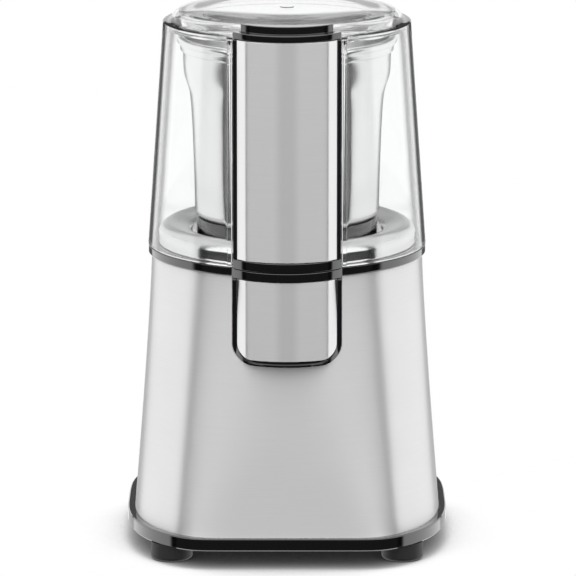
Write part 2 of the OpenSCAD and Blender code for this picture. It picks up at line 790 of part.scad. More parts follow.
module upper_bracket() {
  color(natural) bracket_disc(upper_bracket_z, upper_bearing_z, 6) {
    for (turn = [0, 90, 180]) rotate(turn) {
      translate([bolt_place, -mount_r, upper_bracket_z])
        cube([mount_place - bolt_place, 2 * mount_r, bracket_t]);
      translate([mount_place, 0, upper_bracket_z]) cylinder(r = mount_r, h = bracket_t);
    }
    for (y = [-bolt_place, bolt_place]) translate([0, y, stack_top])
      cylinder(r = spacer_r, h = upper_bracket_z - stack_top + eps);
  }
}

module lower_bracket() {
  color(natural) bracket_disc(lower_bracket_z, lower_bearing_z, 4)
    for (y = [-bolt_place, bolt_place]) translate([0, y, lower_bracket_z])
      cylinder(r = spacer_r, h = stack_z - lower_bracket_z);
}

module sleeve_bearing(z) {
  color(bronze) tube(bearing_r, shaft_r + bearing_gap, z, bearing_h);
}

module motor_mounts() {
  neck_r = mount_r - 1.4;
  color(rubber) for (turn = [0, 90, 180]) rotate(turn)
    translate([mount_place, 0, upper_bracket_z + bracket_t]) rotate_extrude()
      polygon([[0, 0], [mount_r, 0], [mount_r, 2], [neck_r, 3.2], [neck_r, mount_h - 3.2],
               [mount_r, mount_h - 2], [mount_r, mount_h], [0, mount_h]]);
}

module motor_bolts() {
  foot = lower_bracket_z - bolt_head_h;
  color(iron) for (y = [-bolt_place, bolt_place]) translate([0, y, 0]) {
    translate([0, 0, foot]) cylinder(r = bolt_head_r, h = bolt_head_h);
    translate([0, 0, foot + bolt_head_h / 2])
      cylinder(r = bolt_r, h = upper_bracket_z + bracket_t + bolt_head_h / 2 - foot);
  }
}

module stator_core() {
  color(iron) translate([0, 0, stack_z]) linear_extrude(stack_h) difference() {
    intersection() {
      square([2 * stator_half, 2 * stator_depth], center = true);
      circle(stator_corner_r);
    }
    circle(bore_r);
    for (y = [-bolt_place, bolt_place]) translate([0, y]) circle(bolt_r + seat_gap);
    intersection() {
      circle(coil_out + 0.3);
      square([far, 2 * window_half], center = true);
    }
  }
}

module field_coils() {
  color(copper) for (side = [0, 180]) rotate(side) difference() {
    translate([0, 0, stack_z - coil_rise]) linear_extrude(stack_h + 2 * coil_rise) difference() {
      circle(coil_out);
      circle(coil_in);
      translate([-far / 2, -0.4]) square([far, far]);
      for (y = [-bolt_place, bolt_place]) translate([0, y]) circle(spacer_r + slide_gap);
    }
    translate([-far / 2, -far - window_half + slide_gap, stack_z - bearing_gap])
      cube([far, far, stack_h + 2 * bearing_gap]);
  }
}

module brush_holders() {
  foot = lower_bracket_z + bracket_t;
  color(natural) for (side = [0, 180]) rotate(side) difference() {
    translate([commutator_r + 1.4, -brush_w / 2 - 1.7, foot])
      cube([holder_len, brush_w + 3.4, brush_z + brush_h - foot]);
    translate([commutator_r, -brush_w / 2 - seat_gap, brush_z + 1])
      cube([holder_len - 0.4, brush_w + 2 * seat_gap, brush_h - 2.4]);
  }
}

module carbon_brushes() {
  color(black_matte) for (side = [0, 180]) rotate(side)
    translate([commutator_r + slide_gap, -brush_w / 2, brush_z + 1 + seat_gap])
      cube([brush_len, brush_w, brush_h - 2.4 - 2 * seat_gap]);
}

module brush_springs() {
  start = commutator_r + slide_gap + brush_len;
  finish = commutator_r + holder_len - 0.4;
  color(bright_steel) for (side = [0, 180]) rotate(side)
    translate([start, 0, brush_z + brush_h / 2 - 0.2]) rotate([0, 90, 0])
      coil_spring(brush_coil_r, finish - start, 3);
}

module motor_shaft() {
  foot = lower_bearing_z - 1;
  color(bright_steel) translate([0, 0, foot]) cylinder(r = shaft_r, h = shaft_top - foot);
}

module on_shaft(z, h) {
  translate([0, 0, z]) linear_extrude(h) difference() {
    children();
    circle(shaft_r);
  }
}

module armature_core() {
  slot_w = 2.2;
  color(iron) on_shaft(stack_z + 0.5, stack_h - 1) difference() {
    circle(armature_r);
    for (i = [0:slot_count - 1]) rotate(360 * i / slot_count) {
      translate([armature_r - 5, -slot_w / 2]) square([3.4, slot_w]);
      translate([armature_r - 2, -0.5]) square([3, 1]);
    }
  }
}

module armature_windings() {
  profile = [[shaft_r, 0], [armature_r - 3, 0], [armature_r - 1.5, winding_rise / 2],
             [armature_r - 4, winding_rise], [shaft_r, winding_rise]];
  color(copper) {
    translate([0, 0, stack_top - 0.5]) rotate_extrude() polygon(profile);
    translate([0, 0, stack_z + 0.5]) mirror([0, 0, 1]) rotate_extrude() polygon(profile);
  }
}

module commutator() {
  bars = 2 * slot_count;
  color(copper) on_shaft(commutator_z, commutator_h) difference() {
    circle(commutator_r);
    for (i = [0:bars - 1]) rotate(360 * i / bars) translate([commutator_r - 1.2, -0.25]) square([2, 0.5]);
  }
}

module cooling_fan() {
  disc_t = 1.4;
  color(black_matte) {
    on_shaft(fan_z, disc_t) circle(fan_r);
    on_shaft(fan_z, fan_h) circle(shaft_r + 3);
    for (i = [0:fan_blades - 1]) rotate(360 * i / fan_blades)
      translate([shaft_r + 2, -0.7, fan_z + disc_t - eps]) rotate(12)
        cube([fan_r - shaft_r - 3.2, 1.4, fan_h - disc_t]);
  }
}

// The driver's star, grown all round by a gap: a hub and straight lobes
module star(gap) {
  circle(driver_r - 2 + gap);
  for (i = [0:driver_lobes - 1]) rotate(360 * i / driver_lobes)
    translate([0, -lobe_w / 2 - gap]) square([driver_r + gap, lobe_w + 2 * gap]);
}

module driver() {
  color(black_matte) difference() {
    union() {
      translate([0, 0, driver_base]) cylinder(r = driver_r, h = socket_foot - driver_base - 0.4);
      translate([0, 0, socket_foot - 0.5]) linear_extrude(driver_top - socket_foot + 0.5) star(0);
    }
    translate([0, 0, driver_base - past]) cylinder(r = shaft_r, h = shaft_top - driver_base + past);
  }
}

// ---------- Grinding cup ----------

// Half the cup's side from the foot of its wall to the rim, set in by a wall
function cup_side(w) = concat(
  [for (i = [0:12])
    let(t = i / 12, soft = (1 - cos(180 * t)) / 2)
    [lerp(cup_waist_r, cup_upper_r, soft) - w, cup_floor + waist_low + waist_h * t]],
  [[cup_upper_r + 0.3 - w, cup_top - bead_r]]);

module grinding_cup() {
  outer = cup_side(0);
  inner = cup_side(cup_wall);
  steps = len(inner);
  hole_r = bush_r + seat_gap;
  inner_foot_r = cup_foot_r - cup_wall;
  corner = [for (a = [-90:15:0])
    [inner_foot_r - cup_corner + cup_corner * cos(a), cup_inside + cup_corner + cup_corner * sin(a)]];
  bead_in = cup_upper_r + 0.3 - cup_wall + bead_r;
  bead_w = 0.5;
  color(bright_steel) rotate_extrude() {
    polygon(concat([[hole_r, cup_inside], [hole_r, cup_floor], [cup_foot_r, cup_floor]], outer,
                   [for (i = [steps - 1:-1:0]) inner[i]], [for (i = [6:-1:0]) corner[i]]));
    translate([bead_in, cup_top - bead_r]) circle(bead_r);
    translate([bead_in + bead_w, cup_top - bead_r]) circle(bead_r);
    translate([bead_in, cup_top - 2 * bead_r]) square([bead_w, 2 * bead_r]);
  }
}

module cup_base() {
  color(black_gloss) rotate_extrude() difference() {
    polygon([[bush_r + seat_gap, cup_floor], [cup_base_r, cup_floor], [cup_base_r, cup_seat + 1],
             [cup_base_r - 1, cup_seat], [boss_r, cup_seat], [boss_r, web_z], [bush_r + seat_gap, web_z]]);
    translate([boss_r + cup_base_wall, cup_seat - past])
      square([cup_base_r - boss_r - 2 * cup_base_wall, cup_base_h - cup_base_wall + past]);
  }
}

module cup_bush() {
  flange = 1.4;
  color(bronze) difference() {
    union() {
      translate([0, 0, web_z]) cylinder(r = bush_r, h = bush_top - web_z);
      translate([0, 0, cup_inside]) cylinder(r = bush_r + flange, h = 1.2);
    }
    translate([0, 0, web_z - past])
      cylinder(r = blade_shaft_r + bearing_gap, h = bush_top - web_z + 2 * past);
  }
}

module blade_socket() {
  color(black_matte) difference() {
    translate([0, 0, socket_foot]) cylinder(r = socket_r, h = socket_top - socket_foot);
    translate([0, 0, socket_foot - past]) linear_extrude(socket_web - socket_foot + past) star(slide_gap);
    translate([0, 0, socket_web - past]) cylinder(r = blade_shaft_r, h = cup_base_h);
  }
}

module blade_shaft() {
  foot = socket_web + seat_gap;
  color(bright_steel) translate([0, 0, foot]) cylinder(r = blade_shaft_r, h = hub_top + nut_h + 0.8 - foot);
}

// One bent wing, with a ground cutting edge
module wing(bend) {
  root = nut_r + 0.3;
  reach = blade_span / 2 - root;
  half = blade_w / 2;
  translate([root, 0, hub_z]) rotate([0, -bend, 0]) difference() {
    linear_extrude(blade_t) polygon([[0, -half * 0.6], [reach * 0.45, -half * 0.7], [reach - 2, -half * 0.35],
      [reach, 0], [reach - 2, half * 0.5], [reach * 0.4, half * 0.62], [0, half * 0.6]]);
    translate([reach * 0.35, -half * 0.7 - 1.1, blade_t * 0.45]) rotate([-24, 0, 6])
      cube([reach, 2.4, 3]);
  }
}

module blade() {
  color(bright_steel) difference() {
    union() {
      translate([0, 0, hub_z]) cylinder(r = blade_w / 2, h = blade_t);
      wing(blade_bend);
      rotate(180) wing(blade_bend / 2);
    }
    translate([0, 0, hub_z - far / 2]) cylinder(r = blade_shaft_r, h = far);
  }
}

module blade_nut() {
  color(bright_steel) difference() {
    translate([0, 0, hub_top]) cylinder(r = nut_r, h = nut_h, $fn = 6);
    translate([0, 0, hub_top - past]) cylinder(r = blade_shaft_r, h = nut_h + 2 * past);
  }
}

// ---------- Lid ----------

// Half the lid's outline, set in by a wall: a cone, a ledge and a raised spherical dome
module lid_outline(w) {
  edge_r = dome_r - w;
  crown_r = edge_r - dome_edge;
  dome_bow = (crown_r * crown_r + dome_rise * dome_rise) / (2 * dome_rise);
  polygon([[0, lid_foot], [lid_foot_r - w, lid_foot], [lid_rim_r - w, rim_z - w],
           [edge_r + 0.5, rim_z + 0.3 - w], [0, rim_z + 0.3 - w]]);
  intersection() {
    union() {
      translate([0, rim_z - w]) square([edge_r, dome_step - dome_edge]);
      translate([0, rim_z - w]) square([crown_r, dome_step + dome_rise]);
      translate([crown_r, rim_z - w + dome_step - dome_edge]) circle(dome_edge);
    }
    translate([0, dome_z - w - dome_bow]) circle(dome_bow);
  }
}

module lid_shell() {
  pocket_half = pod_half + 2 * seat_gap;
  cheek_r = pod_back_r + 1.7;
  color(clear) difference() {
    union() {
      rotate_extrude() lid_outline(0);
      translate([0, 0, lid_foot]) linear_extrude(rim_z - lid_foot) intersection() {
        circle(cheek_r);
        translate([-pocket_half - channel_wall, -far])
          square([2 * (pocket_half + channel_wall), far - dome_r / 2]);
      }
      translate([0, 0, dome_z - 0.4]) cylinder(r = gate_r, h = 0.6);
    }
    rotate_extrude() lid_outline(lid_wall);
    translate([0, 0, lid_foot - past]) cylinder(r = lid_foot_r - lid_wall, h = past + eps);
    translate([0, 0, lid_foot - past]) linear_extrude(rim_z - lid_wall - lid_foot + past) intersection() {
      circle(channel_back_r);
      translate([-pocket_half, -far]) square([2 * pocket_half, far - dome_r / 2]);
    }
    translate([0, 0, lid_foot - past]) linear_extrude(far) difference() {
      translate([-pocket_half, -far]) square([2 * pocket_half, far - dome_r / 2]);
      circle(pod_back_r - seat_gap);
    }
  }
}

// The well that the button moves in, narrowed all round by a gap
module well_plan(gap) {
  pod_plan(pod_half - button_margin - gap, -panel_t - button_wall - gap, pod_back_r + pod_back_wall + gap);
}

module lid_pod() {
  color(black_gloss) difference() {
    union() {
      translate([0, 0, lid_foot]) linear_extrude(pod_top - lid_foot) pod_plan(pod_half, 0, pod_back_r);
      translate([0, 0, lid_foot]) linear_extrude(collar_h) pod_plan(pod_half, band_proud, pod_back_r);
    }
    for (span = [[lid_foot + collar_h, guide_low], [guide_low + shelf_t, spring_seat - shelf_t]])
      translate([0, 0, span[0]]) linear_extrude(span[1] - span[0])
        pod_plan(pod_half - pod_wall, -pod_skin, pod_back_r + pod_back_wall);
    translate([0, 0, spring_seat]) linear_extrude(far) well_plan(0);
    translate([0, rod_y, lid_foot - past]) cylinder(r = rod_hole_r, h = pod_top - lid_foot);
    translate([0, 0, lid_foot + collar_h]) linear_extrude(far) panel_arc(pod_half - strip_w, past);
  }
}

module lid_panel() {
  foot = lid_foot + collar_h + seat_gap;
  color(steel) translate([0, 0, foot])
    linear_extrude(pod_top - seat_gap - foot) panel_arc(pod_half - strip_w - seat_gap, 0);
}

module button_bezel() {
  color(black_gloss) translate([0, 0, pod_top]) linear_extrude(bezel_h) difference() {
    pod_plan(pod_half, band_proud / 2, pod_back_r);
    well_plan(0);
  }
}

module push_button() {
  color(black_gloss) difference() {
    translate([0, 0, skirt_z]) linear_extrude(button_top - skirt_z) well_plan(slide_gap);
    translate([0, 0, skirt_z - past]) linear_extrude(button_top - button_crown - skirt_z + past)
      well_plan(slide_gap + 1);
  }
}

module push_rod() {
  color(natural) translate([0, rod_y, 0]) {
    translate([0, 0, lid_foot]) cylinder(r = rod_r, h = button_top - button_crown - lid_foot);
    translate([0, 0, rod_flange_z]) cylinder(r = rod_flange_r, h = flange_t);
  }
}

module button_spring() {
  color(bright_steel) translate([0, rod_y, spring_seat])
    coil_spring(rod_coil_r, rod_flange_z - spring_seat, 6);
}

base_plate();
foot(-foot_place, -foot_place);  // foot_front_left
foot(foot_place, -foot_place);  // foot_front_right
foot(-foot_place, foot_place);  // foot_rear_left
foot(foot_place, foot_place);  // foot_rear_right
base_screws();
steel_shell();
motor_chassis();
top_collar();
deck_dish();
switch_pod();
switch_panel();
cord_inlet();
upper_bracket();
lower_bracket();
sleeve_bearing(upper_bearing_z);  // upper_bearing
sleeve_bearing(lower_bearing_z);  // lower_bearing
motor_mounts();
motor_bolts();
stator_core();
field_coils();
brush_holders();
carbon_brushes();
brush_springs();
motor_shaft();
armature_core();
armature_windings();
commutator();
cooling_fan();
driver();
microswitch();
switch_lever();
switch_plunger();
plunger_spring();
grinding_cup();
cup_base();
cup_bush();
blade();
blade_shaft();
blade_nut();
blade_socket();
lid_shell();
lid_pod();
lid_panel();
button_bezel();
push_button();
push_rod();
button_spring();
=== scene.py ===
# %% [markdown]
# # An electric spice grinder
# The grinder is a motor base in a brushed steel shell, a polished cup that lifts out, and a clear
# lid whose front pod carries the push button. The solids come from the CAD frame. This file gives
# them their finishes, models again the pieces whose edges and curves the light picks out, and
# builds the studio round them.
#
# The frame holds one object for each CAD node.

import json
import math

import bpy
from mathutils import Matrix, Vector

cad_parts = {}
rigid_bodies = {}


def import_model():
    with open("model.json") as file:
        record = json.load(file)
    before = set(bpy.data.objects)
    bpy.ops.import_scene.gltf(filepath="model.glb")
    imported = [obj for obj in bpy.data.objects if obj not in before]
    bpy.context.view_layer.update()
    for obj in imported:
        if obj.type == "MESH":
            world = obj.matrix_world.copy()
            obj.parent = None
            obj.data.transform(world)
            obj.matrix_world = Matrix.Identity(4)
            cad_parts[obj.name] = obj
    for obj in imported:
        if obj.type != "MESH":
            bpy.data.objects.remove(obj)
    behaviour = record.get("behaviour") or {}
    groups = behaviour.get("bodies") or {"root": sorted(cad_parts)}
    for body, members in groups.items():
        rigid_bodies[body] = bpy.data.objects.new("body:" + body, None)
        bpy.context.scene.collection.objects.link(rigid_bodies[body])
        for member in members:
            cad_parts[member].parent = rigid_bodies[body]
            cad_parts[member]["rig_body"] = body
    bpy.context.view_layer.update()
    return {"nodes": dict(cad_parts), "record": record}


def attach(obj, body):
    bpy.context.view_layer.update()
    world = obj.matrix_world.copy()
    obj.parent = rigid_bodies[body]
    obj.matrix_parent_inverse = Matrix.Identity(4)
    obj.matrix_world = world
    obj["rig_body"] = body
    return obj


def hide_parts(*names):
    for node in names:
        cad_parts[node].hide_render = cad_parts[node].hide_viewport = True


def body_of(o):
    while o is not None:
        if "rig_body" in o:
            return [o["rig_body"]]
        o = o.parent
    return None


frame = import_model()
solids = frame["nodes"]
MM = 0.001

# %% [markdown]
# ## Shader maths written as Python
# A finish is a small graph of nodes. It could be wired node by node, but that is long and hard to
# read. So a `Wire` stands for a socket and understands `+`, `-` and `*`. Its method `node` adds any
# other node, and `beside` reaches the other outputs of the same node.

# %% A socket that can be calculated with
class Wire:
    def __init__(self, tree, socket=None):
        self.tree = tree
        self.socket = socket

    def node(self, kind, settings=None, sockets=None, out=0):
        made = self.tree.nodes.new("ShaderNode" + kind)
        for name, value in (settings or {}).items():
            if name == "stops":
                self.place_stops(made.color_ramp.elements, value)
            else:
                setattr(made, name, value)
        for name, value in (sockets or {}).items():
            self.feed(made.inputs[name], value)
        return Wire(self.tree, made.outputs[out])

    def place_stops(self, ramp, stops):
        """Sets the grey stops of a colour ramp, which has two to start with"""
        for index, (place, grey) in enumerate(stops):
            stop = ramp[index] if index < 2 else ramp.new(place)
            stop.position = place
            stop.color = (grey, grey, grey, 1)

    def feed(self, socket, value):
        if isinstance(value, Wire):
            self.tree.links.new(value.socket, socket)
        else:
            socket.default_value = value

    def beside(self, name):
        """Another output of the node that this wire comes from"""
        return Wire(self.tree, self.socket.node.outputs[name])

    def maths(self, operation, *values):
        return self.node("Math", {"operation": operation}, dict(enumerate(values)))

    def __add__(self, other):
        return self.maths("ADD", self, other)

    __radd__ = __add__

    def __sub__(self, other):
        return self.maths("SUBTRACT", self, other)

    def __rsub__(self, other):
        return self.maths("SUBTRACT", other, self)

    def __mul__(self, other):
        return self.maths("MULTIPLY", self, other)

    __rmul__ = __mul__

    def step(self, low, high):
        """0 below low, 1 above high and a soft climb between them"""
        return self.node("MapRange", {"interpolation_type": "SMOOTHSTEP"},
                         {"Value": self, "From Min": low, "From Max": high})

    def blend(self, start, end):
        """start where this wire is 0 and end where it is 1, for numbers"""
        return start + self * (end - start)

    def shade(self, dark, light):
        """A colour between two colours"""
        return self.node("Mix", {"data_type": "RGBA"}, {0: self, 6: (*dark, 1), 7: (*light, 1)}, 2)


# %% [markdown]
# ## What every finish shares
# All finishes start from a Principled shader. Numbers that are the same all over go straight on its
# sockets. Patterns could follow an unwrapped surface or the object's own place. They are read from
# Object coordinates, in metres, because then they keep their real size on every piece.

# %% Patterns at their real size
OBJECT_OUTPUT = 3


def place(wire):
    """Object coordinates, in metres"""
    return wire.node("TexCoord", out=OBJECT_OUTPUT)


def place_along(wire, axis):
    """One of the three Object coordinates"""
    return wire.node("SeparateXYZ", None, {0: place(wire)}, "XYZ".index(axis))


def stretched_noise(wire, stretch, detail=3.0):
    """Noise whose grain is squeezed by a factor along each axis"""
    scaled = wire.node("Mapping", None, {"Vector": place(wire), "Scale": stretch})
    return wire.node("TexNoise", None, {"Vector": scaled, "Scale": 1.0, "Detail": detail,
                                        "Roughness": 0.6})


def uneven(level, *patterns):
    """A level that some patterns move up and down, each by its own share"""
    total = level - sum(share for pattern, share in patterns) / 2
    for pattern, share in patterns:
        total = pattern * share + total
    return total


def shades(colour, *shares):
    """The same colour at other strengths"""
    return [tuple(part * share for part in colour) for share in shares]


print("shades of a grey:", shades((0.5, 0.5, 0.5), 0.8, 1.2))

# %% [markdown]
# A finish is started by name, and what varies over the surface is plugged in at the end. Fine
# relief goes through a Bump node, with its depth in millimetres, because grains that small would
# need millions of faces.

# %% Starting a finish and dressing it
def start_finish(name, **constants):
    made = bpy.data.materials.new(name)
    made.use_nodes = True
    shader = made.node_tree.nodes["Principled BSDF"]
    for socket, value in constants.items():
        shader.inputs[socket.replace("_", " ")].default_value = value
    return made, shader, Wire(made.node_tree)


def dress(shader, wire, colour, roughness, height=None, depth=0.0):
    """Plugs in what varies: a colour, a roughness and, if there is one, a relief"""
    wire.feed(shader.inputs["Base Color"], colour)
    wire.feed(shader.inputs["Roughness"], roughness)
    if height is not None:
        bump = wire.node("Bump", None, {"Height": height, "Strength": 1.0, "Distance": depth * MM})
        wire.feed(shader.inputs["Normal"], bump)


# %% [markdown]
# ## Brushed steel
# The shell and the two panels are brushed round the body. Each scratch is a hair wide and several
# centimetres long, so the noise is squeezed along Z. The scratches spread a reflection up and down
# and leave it sharp from side to side. Relief alone can't do that at this size, so the shader's
# anisotropy does. The panels' colour is also painted a little darker along their middle, a painted
# shade that stands in for a darker reflection there, and `middle` sets how dark.

# %% Brushed steel
HAIR_STRETCH = (55.0, 55.0, 9000.0)
CLOUD_STRETCH = (30.0, 30.0, 60.0)
# the painted shade along a panel's middle is full out to the first distance and gone at the second, in
# millimetres from the centre
PAINTED_SHADE_FROM, PAINTED_SHADE_TO = 1.2, 5.2
QUARTER_TURN = 0.25


def brushed(name, tone, roughness, spread, middle=1.0):
    made, shader, wire = start_finish(name, Metallic=1.0, Anisotropic=spread,
                                      Anisotropic_Rotation=QUARTER_TURN)
    hair = stretched_noise(wire, HAIR_STRETCH, detail=4.0)
    cloud = stretched_noise(wire, CLOUD_STRETCH, detail=2.0)
    across = wire.maths("ABSOLUTE", place_along(wire, "X"))
    # painted shade: the colour is darkened along the middle by the factor middle
    clear_of_painted_shade = across.step(PAINTED_SHADE_FROM * MM, PAINTED_SHADE_TO * MM)
    bright = hair.blend(0.93, 1.05) * (clear_of_painted_shade.blend(middle, 1.0) * tone)
    grey = wire.node("CombineColor", None, {0: bright, 1: bright, 2: bright})
    dress(shader, wire, grey, uneven(roughness, (hair, 0.08), (cloud, 0.05)), hair, 0.004)
    return made


finishes = {
    "brushed_shell": brushed("brushed_shell_steel", tone=0.88, roughness=0.42, spread=1.0),
    # the panels' middle is painted darker, a painted shade
    "brushed_panel": brushed("brushed_panel_steel_painted_shade", tone=0.9, roughness=0.35, spread=1.0, middle=0.86),
    "ground_steel": brushed("ground_blade_steel", tone=0.72, roughness=0.24, spread=0.4),
    "lamination_iron": brushed("stacked_iron_plates", tone=0.4, roughness=0.42, spread=0.3),
}
print("brushed finishes:", list(finishes))

# %% [markdown]
# ## Polished steel
# The cup and the deck round it are polished on a lathe, which leaves faint rings, and fingers leave
# faint smears. The deck is bright up to the height where its face turns over, and satin above it.
# Two materials could meet there, but one material whose roughness climbs over a short height has
# the soft border that a polishing wheel leaves.

# %% Polished steel
RING_STRETCH = (20.0, 20.0, 3500.0)
SMEAR_STRETCH = (90.0, 90.0, 90.0)
SATIN_BORDER = 2.5
SATIN_ROUGHER = 0.22


def polished(name, tone, roughness, satin_above=None):
    made, shader, wire = start_finish(name, Metallic=1.0)
    if satin_above is not None:
        satin = place_along(wire, "Z").step(satin_above * MM, (satin_above + SATIN_BORDER) * MM)
        roughness = satin * SATIN_ROUGHER + roughness
    rings = stretched_noise(wire, RING_STRETCH)
    smears = stretched_noise(wire, SMEAR_STRETCH)
    dark, light = shades((tone, tone, tone), 0.97, 1.02)
    dress(shader, wire, smears.shade(dark, light), uneven(roughness, (smears, 0.07), (rings, 0.04)),
          rings, 0.0015)
    return made


finishes["polished_steel"] = polished("polished_cup_steel", tone=0.9, roughness=0.24)
finishes["deck_steel"] = polished("polished_deck_steel", tone=0.8, roughness=0.09, satin_above=107.6)
print("finishes so far:", len(finishes))

# %% [markdown]
# ## Moulded and cast finishes
# Moulded plastic is never perfectly even. Gloss black carries a slow ripple and a little dust-fine
# roughness, matt black has a fine spark-eroded grain, and rubber is dull with a soft mottle. Cast,
# drawn and turned metals inside the base have a grain of the same kind. One function makes them all,
# because only the colour, the grain and the depth differ.

# %% Moulded and cast finishes
RIPPLE_STRETCH = (70.0, 70.0, 70.0)


def moulded(name, colour, roughness, grain, depth, **more):
    made, shader, wire = start_finish(name, **more)
    fine = stretched_noise(wire, (grain, grain, grain), detail=4.0)
    slow = stretched_noise(wire, RIPPLE_STRETCH, detail=2.0)
    dark, light = shades(colour, 0.88, 1.12)
    dress(shader, wire, fine.shade(dark, light), uneven(roughness, (fine, 0.06), (slow, 0.06)),
          fine, depth)
    return made


# slot: the material's name, colour, roughness, grains in a metre and their depth in millimetres
METALS = {
    "spring_steel": ("spring_wire", (0.6, 0.6, 0.61), 0.3, 4000.0, 0.002),
    "fastener_steel": ("zinc_plated_steel", (0.62, 0.62, 0.64), 0.35, 2500.0, 0.003),
    "copper_wire": ("enamelled_copper", (0.72, 0.3, 0.14), 0.28, 1800.0, 0.02),
    "commutator_copper": ("turned_copper", (0.8, 0.42, 0.25), 0.25, 3000.0, 0.003),
    "bearing_bronze": ("sintered_bronze", (0.62, 0.42, 0.2), 0.42, 5000.0, 0.01),
}
PLASTICS = {
    "matte_black": ("matt_black_plastic", (0.022, 0.022, 0.023), 0.5, 4200.0, 0.015),
    "foot_rubber": ("foot_rubber", (0.013, 0.013, 0.013), 0.5, 3000.0, 0.01),
    "inlet_rubber": ("inlet_rubber", (0.017, 0.017, 0.017), 0.55, 3000.0, 0.012),
    "natural_plastic": ("natural_acetal", (0.72, 0.71, 0.66), 0.35, 1500.0, 0.004),
    "carbon": ("pressed_carbon", (0.02, 0.02, 0.021), 0.6, 6000.0, 0.02),
}
for slot, numbers in METALS.items():
    finishes[slot] = moulded(*numbers, Metallic=1.0)
for slot, numbers in PLASTICS.items():
    finishes[slot] = moulded(*numbers)
print("metals:", len(METALS), "plastics:", len(PLASTICS))

# %% [markdown]
# ## Gloss black
# The pods, the collar, the tray and the button are polished black plastic. It is nearly black in
# itself, and all that one sees is what it mirrors. A clear coat over a black base gives that, and
# its high index of refraction makes the edges flash as lacquer does.

# %% Gloss black
NEAR_BLACK = (0.003, 0.003, 0.003)
finishes["gloss_black"] = moulded("gloss_black_plastic", NEAR_BLACK, 0.1, 900.0, 0.0004,
                                  Coat_Weight=1.0, Coat_IOR=1.8, Coat_Roughness=0.06)
finishes["button_black"] = moulded("button_black_plastic", NEAR_BLACK, 0.12, 900.0, 0.0005,
                                   Coat_Weight=1.0, Coat_IOR=1.8, Coat_Roughness=0.08)
print("gloss finishes:", ["gloss_black", "button_black"])

# %% [markdown]
# ## The clear lid's plastic
# Polished acrylic bends light as it passes. A mix with a transparent shader would be quicker and
# would bend nothing, so the Principled shader lets the light through with an index of refraction of
# 1.49. Fine rubbing from years of wiping shows only as a trace of roughness.

# %% Clear plastic
WIPING_STRETCH = (60.0, 60.0, 200.0)


def clear_plastic():
    made, shader, wire = start_finish("clear_plastic", Transmission_Weight=1.0, IOR=1.49)
    wiping = stretched_noise(wire, WIPING_STRETCH, detail=2.0)
    tint = wiping.shade((0.97, 0.975, 0.975), (0.99, 0.995, 0.995))
    dress(shader, wire, tint, wiping.step(0.5, 0.8) * 0.03)
    return made


finishes["clear_plastic"] = clear_plastic()
print("finishes in all:", len(finishes))

# %% [markdown]
# ## Dressing the solids
# Each CAD node names its material slot in the record. A node could be dressed one by one, but a
# loop over the record can't forget one. The nodes inside the base keep their CAD shape and only get
# their finish.

# %% A finish for each solid
slot_of = {row["node"]: row["material_slot"] for row in frame["record"]["subparts"]}
for node_name, solid in solids.items():
    solid.data.materials.clear()
    solid.data.materials.append(finishes[slot_of[node_name]])
print("solids dressed:", len(solids), "in", len(set(slot_of.values())), "finishes")

# %% [markdown]
# ## Working like a hand in the modeller
# The operators act on what is selected, so each step first lets go of everything. `take` picks one
# object up, `edit` opens it with all its points selected, and `done` closes it. A modifier is
# applied at once, as one does when the shape is settled.

# %% Picking up, editing and applying
def take(piece):
    if bpy.context.object and bpy.context.object.mode != "OBJECT":
        bpy.ops.object.mode_set(mode="OBJECT")
    bpy.ops.object.select_all(action="DESELECT")
    piece.select_set(True)
    bpy.context.view_layer.objects.active = piece


def edit(piece):
    take(piece)
    bpy.ops.object.mode_set(mode="EDIT")
    bpy.ops.mesh.select_mode(type="VERT")
    bpy.ops.mesh.select_all(action="SELECT")


def done():
    bpy.ops.object.mode_set(mode="OBJECT")


def add_modifier(piece, kind, **settings):
    take(piece)
    modifier = piece.modifiers.new(kind.lower(), kind)
    for name, value in settings.items():
        setattr(modifier, name, value)
    bpy.ops.object.modifier_apply(modifier=modifier.name)


def joined(pieces):
    take(pieces[0])
    for piece in pieces[1:]:
        piece.select_set(True)
    bpy.ops.object.join()
    return bpy.context.object


# %% [markdown]
# ## Handing a piece in
# Every new piece stands for one solid. So it takes that solid's body, to move with it, and that
# solid's slot, to be finished like it. The solid stays for the physics and is hidden in the
# picture. `smooth` is the angle in degrees under which faces are shaded as one surface. A piece with
# softened edges needs none, because softening has seen to its shading.

# %% Handing a piece in
def hand_in(piece, name, node_name, smooth=0):
    take(piece)
    if smooth:
        bpy.ops.object.shade_smooth_by_angle(angle=math.radians(smooth))
    piece.name = name
    piece.data.name = name
    body = body_of(solids[node_name])[0]
    slot = slot_of[node_name]
    piece.data.materials.clear()
    piece.data.materials.append(finishes[slot])
    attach(piece, body)
    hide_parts(node_name)
    print(name, "rides on", body, "and has", len(piece.data.polygons), "faces")


# %% [markdown]
# ## Softening an edge
# No moulding or pressing has a knife edge. A rounded edge a fraction of a millimetre wide catches a
# line of light, and that line is what makes a black part readable. The part could be modelled again
# with its rounds, but its solid is already right. So `softened` copies the solid, merges its loose
# triangles, removes the lines that lie flat in a face, and bevels what is left sharp. The weighted
# normals then keep the large faces flat up to the round.

# %% A merged copy of a solid with rounded edges
WELD = 0.002
FLAT_ANGLE = 0.4
SHADING_ANGLE = 30


def merged_copy(node_name):
    source = solids[node_name]
    copy = bpy.data.objects.new(node_name + "_copy", source.data.copy())
    bpy.context.scene.collection.objects.link(copy)
    take(copy)
    bpy.ops.mesh.customdata_custom_splitnormals_clear()
    edit(copy)
    bpy.ops.mesh.remove_doubles(threshold=WELD * MM)
    bpy.ops.mesh.dissolve_limited(angle_limit=math.radians(FLAT_ANGLE))
    done()
    return copy


